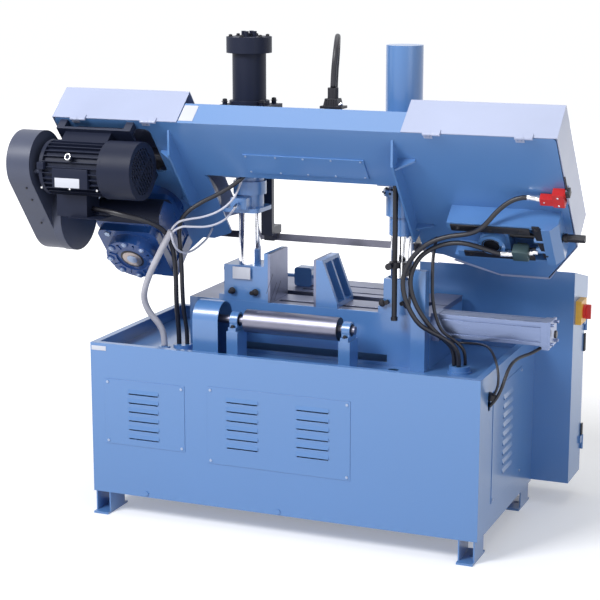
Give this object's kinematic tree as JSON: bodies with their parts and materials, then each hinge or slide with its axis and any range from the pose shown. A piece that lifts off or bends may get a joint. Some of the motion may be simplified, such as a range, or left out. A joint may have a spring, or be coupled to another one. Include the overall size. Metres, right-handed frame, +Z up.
{
  "type": "horizontal band saw",
  "caption": "Hydraulic horizontal metal-cutting band saw with a tilted bow sliding on two columns over a vise bed and tray base.",
  "frame": {"origin": "centre of the four foot anchor holes at floor level", "axes": "+X along the bow to the tension end, +Y from the infeed side to the operator's outfeed side, +Z up"},
  "size_m": [2.02, 1.1131, 1.794],
  "materials": {
    "blue_paint": "smooth satin enamel",
    "cover_paint": "smooth satin enamel, grey lavender",
    "cabinet_paint": "smooth satin enamel",
    "charcoal_paint": "satin enamel",
    "dark_blue_cast": "rough painted casting",
    "hard_chrome": "ground and hard chromed",
    "ground_steel": "ground, lightly oiled",
    "wheel_iron": "machined rim, cast web",
    "aluminium": "drawn profile, clear anodised",
    "black_steel": "blackened",
    "black_plastic": "moulded",
    "red_plastic": "moulded",
    "green_plastic": "moulded",
    "yellow_plastic": "moulded",
    "rubber": "moulded",
    "blade_steel": "bimetal strip"
  },
  "bodies": {
    "base": {"base_cabinet": "blue_paint", "base_fasteners": "black_steel", "base_feet": "blue_paint", "bed_frame": "blue_paint", "chain_guard": "blue_paint", "column_clamps": "blue_paint", "columns": "hard_chrome", "control_cabinet": "cabinet_paint", "fixed_jaw_plate": "ground_steel", "height_limit_switch": "black_plastic", "hose_post": "blue_paint", "length_stop": "blue_paint", "louvred_panels": "blue_paint", "operator_panel": "aluminium", "roller_supports": "blue_paint", "switch_plate": "yellow_plastic", "table_plate": "ground_steel", "tray_glands": "black_plastic", "vise_cylinder": "aluminium", "vise_hoses": "rubber"},
    "vise_jaw": {"moving_jaw": "blue_paint", "moving_jaw_plate": "ground_steel", "vise_rod": "hard_chrome"},
    "roller": {"feed_roller": "ground_steel"},
    "dog": {"stop_dog": "black_steel"},
    "guide_left": {"left_guide": "ground_steel"},
    "drive": {"drive_wheel": "wheel_iron", "drive_shaft": "ground_steel"},
    "idler": {"idler_wheel": "wheel_iron"},
    "worm": {"worm_shaft": "ground_steel"},
    "rotor": {"motor_rotor": "ground_steel"},
    "cover_left": {"left_cover": "cover_paint"},
    "cover_right": {"right_cover": "cover_paint"},
    "tension": {"tension_slide": "blue_paint"},
    "screw": {"tension_screw": "black_steel"},
    "door": {"cabinet_door": "cabinet_paint"},
    "switch": {"main_switch_knob": "red_plastic"},
    "estop": {"estop_button": "red_plastic"},
    "start": {"start_button": "green_plastic"},
    "stop": {"stop_button": "red_plastic"},
    "head": {"bow_frame": "blue_paint", "beam_cover": "blue_paint", "column_sleeves": "blue_paint", "lift_cylinder": "charcoal_paint", "column_cover": "blue_paint", "guide_rail": "ground_steel", "right_guide": "ground_steel", "blade": "blade_steel", "gearbox": "dark_blue_cast", "drive_belts": "rubber", "belt_cover": "charcoal_paint", "motor_body": "charcoal_paint", "motor_fan_cover": "charcoal_paint", "cover_hinges": "aluminium", "tension_bracket": "blue_paint", "interlock_switch": "red_plastic", "stop_rod": "ground_steel", "cable_hood": "charcoal_paint", "crossing_hoses": "rubber", "head_hoses": "rubber"}
  },
  "joints": [
    {"name": "head_lift", "type": "slide", "parent": "base", "child": "head", "axis": [0, 0, 1], "range_m": [-0.2, 0.025], "deforming": ["crossing_hoses"]},
    {"name": "vise_close", "type": "slide", "parent": "base", "child": "vise_jaw", "axis": [-1, 0, 0], "range_m": [-0.15, 0.168]},
    {"name": "roller_spin", "type": "hinge", "parent": "base", "child": "roller", "pos_m": [0, -0.202, 0.7525], "axis": [1, 0, 0], "continuous": true},
    {"name": "dog_slide", "type": "slide", "parent": "head", "child": "dog", "axis": [0, 0, 1], "range_m": [-0.15, 0.2]},
    {"name": "left_guide_slide", "type": "slide", "parent": "head", "child": "guide_left", "axis": [1, 0, 0], "range_m": [-0.035, 0.035]},
    {"name": "drive_spin", "type": "hinge", "parent": "head", "child": "drive", "pos_m": [-0.62, -0.05756, 1.14304], "axis": [0, 0.7581, 0.6521], "continuous": true},
    {"name": "worm_spin", "type": "hinge", "parent": "head", "child": "worm", "pos_m": [-0.8, -0.2327, 1.1243], "axis": [1, 0, 0], "continuous": true},
    {"name": "motor_spin", "type": "hinge", "parent": "head", "child": "rotor", "pos_m": [-0.8, -0.39951, 1.31057], "axis": [1, 0, 0], "continuous": true},
    {"name": "tension_move", "type": "slide", "parent": "head", "child": "tension", "axis": [1, 0, 0], "range_m": [-0.02, 0]},
    {"name": "idler_spin", "type": "hinge", "parent": "tension", "child": "idler", "pos_m": [0.71, -0.05756, 1.14304], "axis": [0, 0.7581, 0.6521], "continuous": true},
    {"name": "tension_turn", "type": "hinge", "parent": "tension", "child": "screw", "pos_m": [0.96, -0.08788, 1.11696], "axis": [1, 0, 0], "range_deg": [-3700, 100]},
    {"name": "left_cover_open", "type": "hinge", "parent": "head", "child": "cover_left", "pos_m": [-0.64, -0.35816, 1.48332], "axis": [1, 0, 0], "range_deg": [0, 85]},
    {"name": "right_cover_open", "type": "hinge", "parent": "head", "child": "cover_right", "pos_m": [0.7, -0.35816, 1.48332], "axis": [1, 0, 0], "range_deg": [0, 85]},
    {"name": "door_open", "type": "hinge", "parent": "base", "child": "door", "pos_m": [0.899, 0.564, 0.4], "axis": [0, 0, 1], "range_deg": [-110, 0]},
    {"name": "switch_turn", "type": "hinge", "parent": "base", "child": "switch", "pos_m": [0.92, 0.44, 0.748], "axis": [1, 0, 0], "range_deg": [0, 90]},
    {"name": "estop_press", "type": "slide", "parent": "base", "child": "estop", "axis": [0, -0.2316, -0.9728], "range_m": [0, 0.005], "stiffness_N_per_m": 800},
    {"name": "start_press", "type": "slide", "parent": "base", "child": "start", "axis": [0, -0.2316, -0.9728], "range_m": [0, 0.005], "stiffness_N_per_m": 400},
    {"name": "stop_press", "type": "slide", "parent": "base", "child": "stop", "axis": [0, -0.2316, -0.9728], "range_m": [0, 0.005], "stiffness_N_per_m": 400}
  ],
  "couplings": [
    {"joint": "idler_spin", "follows": "drive_spin", "ratio": 1},
    {"joint": "worm_spin", "follows": "drive_spin", "ratio": 15},
    {"joint": "motor_spin", "follows": "drive_spin", "ratio": 32.727},
    {"joint": "tension_turn", "follows": "tension_move", "rad_per_m": 3141.6}
  ]
}
